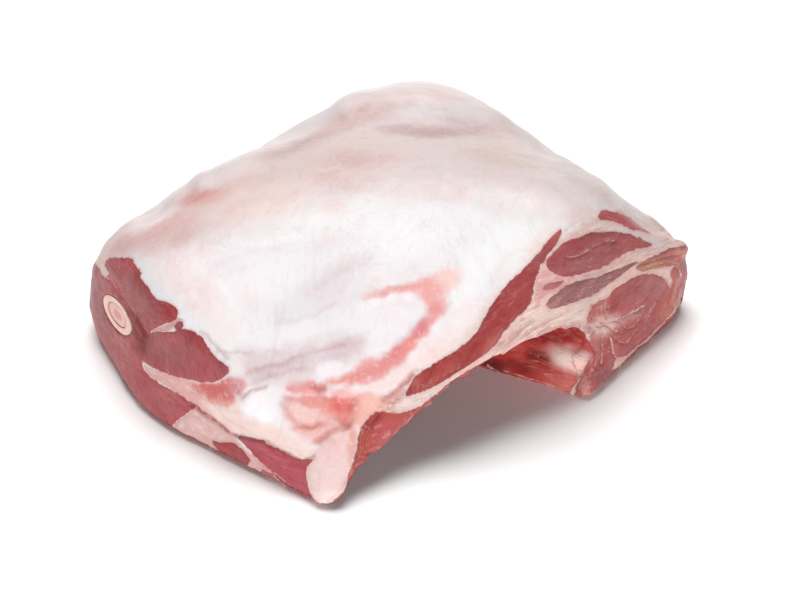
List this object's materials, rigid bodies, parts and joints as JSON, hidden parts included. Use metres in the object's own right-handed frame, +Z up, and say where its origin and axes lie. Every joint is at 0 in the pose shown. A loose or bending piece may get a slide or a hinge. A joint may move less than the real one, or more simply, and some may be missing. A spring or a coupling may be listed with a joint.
{
  "type": "raw lamb shoulder",
  "caption": "Raw square-cut shoulder of lamb under its white fat cover, with a hollow underneath, two cut faces and the sawn arm bone showing.",
  "frame": {"origin": "centre of the bounding box of the whole part, at its base", "axes": "+X is the longest side and runs from the arm cut, where the bone shows, to the rounded chine side; +Y runs from the blade-end cut, where the hollow opens as an arch, to the neck end; +Z is up, out of the fat side"},
  "size_m": [0.2664, 0.2172, 0.0979],
  "materials": {
    "raw_meat": "moist satin: white and pale pink fat over the top and the rounded sides, dark red muscle on the cut faces",
    "bone": "sawn cream bone, slightly moist",
    "marrow": "moist pinkish marrow"
  },
  "bodies": {
    "root": {"meat": "raw_meat", "arm_bone": "bone", "bone_marrow": "marrow"}
  },
  "joints": []
}
